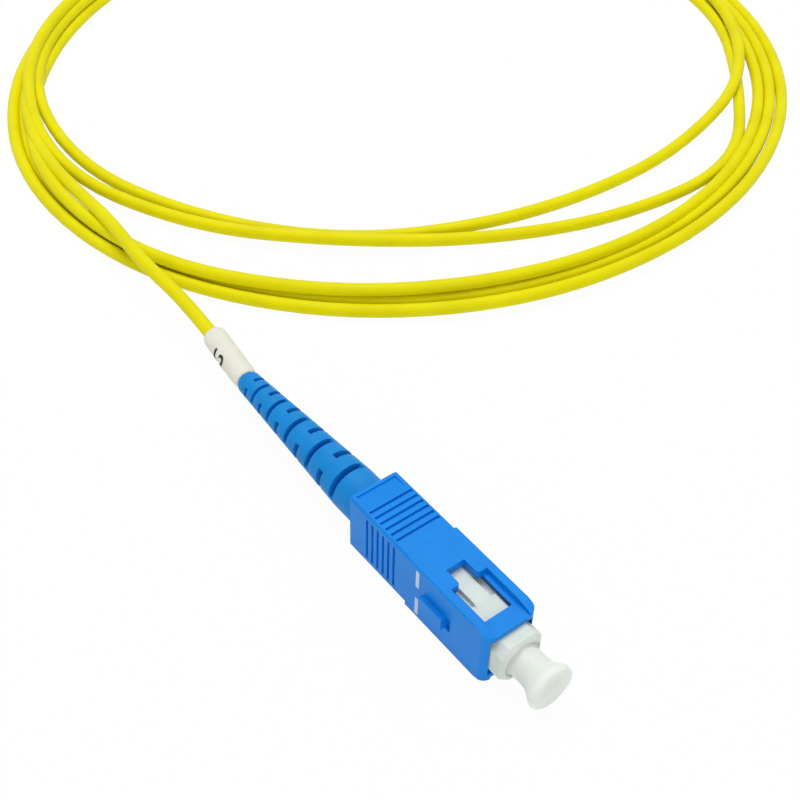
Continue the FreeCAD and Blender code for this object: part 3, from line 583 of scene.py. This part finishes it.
def make_yarn_tuft(place):
    """The yarn's filaments where they were cut: uneven, and leaning a little."""
    bm = bmesh.new()
    draw = random.Random(7)
    for filament in range(FILAMENTS):
        angle = filament * FILAMENT_TURN
        radius = draw.uniform(*FILAMENT_RING) * MM
        length = draw.uniform(*FILAMENT_LENGTH) * MM
        made = bmesh.ops.create_cone(bm, cap_ends=True, segments=6, radius1=FILAMENT_ROOT,
                                     radius2=FILAMENT_TIP, depth=length)
        lean = Matrix.Rotation(math.pi / 2 + draw.uniform(*FILAMENT_LEAN), 4, "Y")
        bmesh.ops.transform(bm, matrix=lean, verts=made["verts"])
        bmesh.ops.translate(bm, verts=made["verts"],
                            vec=(FILAMENT_OUT, radius * math.cos(angle), radius * math.sin(angle)))
    bmesh.ops.transform(bm, matrix=place, verts=bm.verts)
    mesh = finish_mesh(bm, "cut_yarn_tuft", ALL_SMOOTH)
    return add_piece("cut_yarn_tuft", mesh, yarn_aramid, "plug")


def make_cord():
    """The cord as one line, from the boot's tail through the lead and the coil to its cut end."""
    route = [(TAIL + x, y, z) for x, y, z in LEAD] + coil_points()
    curve = bpy.data.curves.new("cord", "CURVE")
    curve.dimensions = "3D"
    curve.resolution_u = 8
    curve.bevel_depth = CORD_RADIUS
    curve.bevel_resolution = 5
    curve.use_fill_caps = True
    line = curve.splines.new("NURBS")
    line.points.add(len(route) - 1)
    for point, place in zip(line.points, route):
        point.co = (*place, 1)
    line.order_u = 3
    line.use_endpoint_u = True
    line.use_smooth = True
    cord = add_piece("cord", curve, jacket_pvc, "plug")
    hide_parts("cord_lead", "cord_coil")
    first, second = Vector(route[0]), Vector(route[1])
    last_but_one, last = Vector(route[-2]), Vector(route[-1])
    near = aimed(first, second - first)
    far = aimed(last, last - last_but_one)
    on_cord = [make_marker_sleeve(near), make_marker_number(near),
               make_fibre_stub(far), make_yarn_tuft(far)]
# ---- floor, light and camera ----

# The floor: half its width, how far it lies under the part so that the two share no plane, and
# the share of plain white that is seen in it.
FLOOR_HALF = 3.0
FLOOR_DROP = 0.05 * MM
FLOOR_WHITE = 0.96
# How strongly the white surroundings light the part. They are seen at full white.
ROOM_LIGHT = 0.48
WHITE = (1, 1, 1, 1)


def seen_directly(tree):
    """1 for rays from the camera, off a glossy surface or through a clear one, and else 0."""
    path = add_node(tree, "LightPath")
    sharp = add_node(tree, "Math", {"operation": "MAXIMUM"}, {
        0: path.outputs["Is Camera Ray"], 1: path.outputs["Is Glossy Ray"]})
    seen = add_node(tree, "Math", {"operation": "MAXIMUM"}, {
        0: sharp.outputs[0], 1: path.outputs["Is Transmission Ray"]})
    return seen.outputs[0]


def make_floor():
    """A pale sheet that fades to white, and keeps the object's shadow."""
    bm = bmesh.new()
    bmesh.ops.create_grid(bm, x_segments=1, y_segments=1, size=FLOOR_HALF)
    floor = bpy.data.objects.new("floor", finish_mesh(bm, "floor", FLAT))
    floor.location.z = -FLOOR_DROP
    bpy.context.scene.collection.objects.link(floor)
    material, tree, _ = new_material("floor_paper")
    share = add_node(tree, "Math", {"operation": "MULTIPLY"}, {0: seen_directly(tree), 1: FLOOR_WHITE})
    paper = add_node(tree, "BsdfDiffuse", inputs={"Color": linear("#f4f4f4")})
    glow = add_node(tree, "Emission", inputs={"Color": WHITE, "Strength": 1.0})
    mix = add_node(tree, "MixShader", inputs={
        0: share.outputs[0], 1: paper.outputs[0], 2: glow.outputs[0]})
    add_node(tree, "OutputMaterial", inputs={"Surface": mix.outputs[0]})
    floor.data.materials.append(material)


def make_world():
    """White surroundings: soft light on the part, and a plain white background."""
    world = bpy.data.worlds.new("studio")
    world.use_nodes = True
    tree = world.node_tree
    tree.nodes.clear()
    level = add_node(tree, "MapRange", inputs={
        "Value": seen_directly(tree), "To Min": ROOM_LIGHT, "To Max": 1.0})
    glow = add_node(tree, "Background", inputs={
        "Color": WHITE, "Strength": level.outputs["Result"]})
    add_node(tree, "OutputWorld", inputs={"Surface": glow.outputs[0]})
    bpy.context.scene.world = world


def add_lamp(name, place, width, power):
    """A soft square lamp at a place, aimed at the plug."""
    lamp = bpy.data.lights.new(name, "AREA")
    lamp.size = width
    lamp.energy = power
    holder = bpy.data.objects.new(name, lamp)
    holder.location = place
    holder.rotation_euler = (-Vector(place)).to_track_quat("-Z", "Y").to_euler()
    bpy.context.scene.collection.objects.link(holder)


# The camera: its place, how far it is turned from +Y, looks down and is rolled (degrees), and
# its lens on a sensor of this width (mm).
CAMERA_PLACE = (0.07224, -0.065115, 0.128606)
CAMERA_TURN = 51.027
CAMERA_DOWN = 44.589
CAMERA_ROLL = 1.671
CAMERA_LENS = 60.54
CAMERA_SENSOR = 36


def make_camera():
    """A close view from the front left of the plug, half from above, and a little rolled."""
    camera = bpy.data.cameras.new("camera")
    camera.lens = CAMERA_LENS
    camera.sensor_width = CAMERA_SENSOR
    camera.clip_start = 0.005
    camera.clip_end = 20
    holder = bpy.data.objects.new("camera", camera)
    turn = Matrix.Rotation(math.radians(CAMERA_TURN), 4, "Z")
    tilt = Matrix.Rotation(math.radians(90 - CAMERA_DOWN), 4, "X")
    roll = Matrix.Rotation(math.radians(CAMERA_ROLL), 4, "Z")
    holder.matrix_world = Matrix.Translation(CAMERA_PLACE) @ turn @ tilt @ roll
    bpy.context.scene.collection.objects.link(holder)
    bpy.context.scene.camera = holder


make_camera()
make_cord()
moulded_copy("grip_housing_moulded", "grip_housing", edge_mm=0.1, body="grip")
moulded_copy("inner_housing_moulded", "inner_housing", edge_mm=0.07, body="plug")
moulded_copy("boot_moulded", "boot", edge_mm=0.05, body="plug")
make_depth_marks()
make_spring()
make_dust_cap()
make_floor()
make_world()
add_lamp("key", place=(-0.25, 0.1, 0.8), width=0.5, power=4.0)
add_lamp("fill", place=(0.8, -0.4, 0.4), width=0.6, power=1.9)
bpy.context.scene.view_settings.view_transform = "Standard"
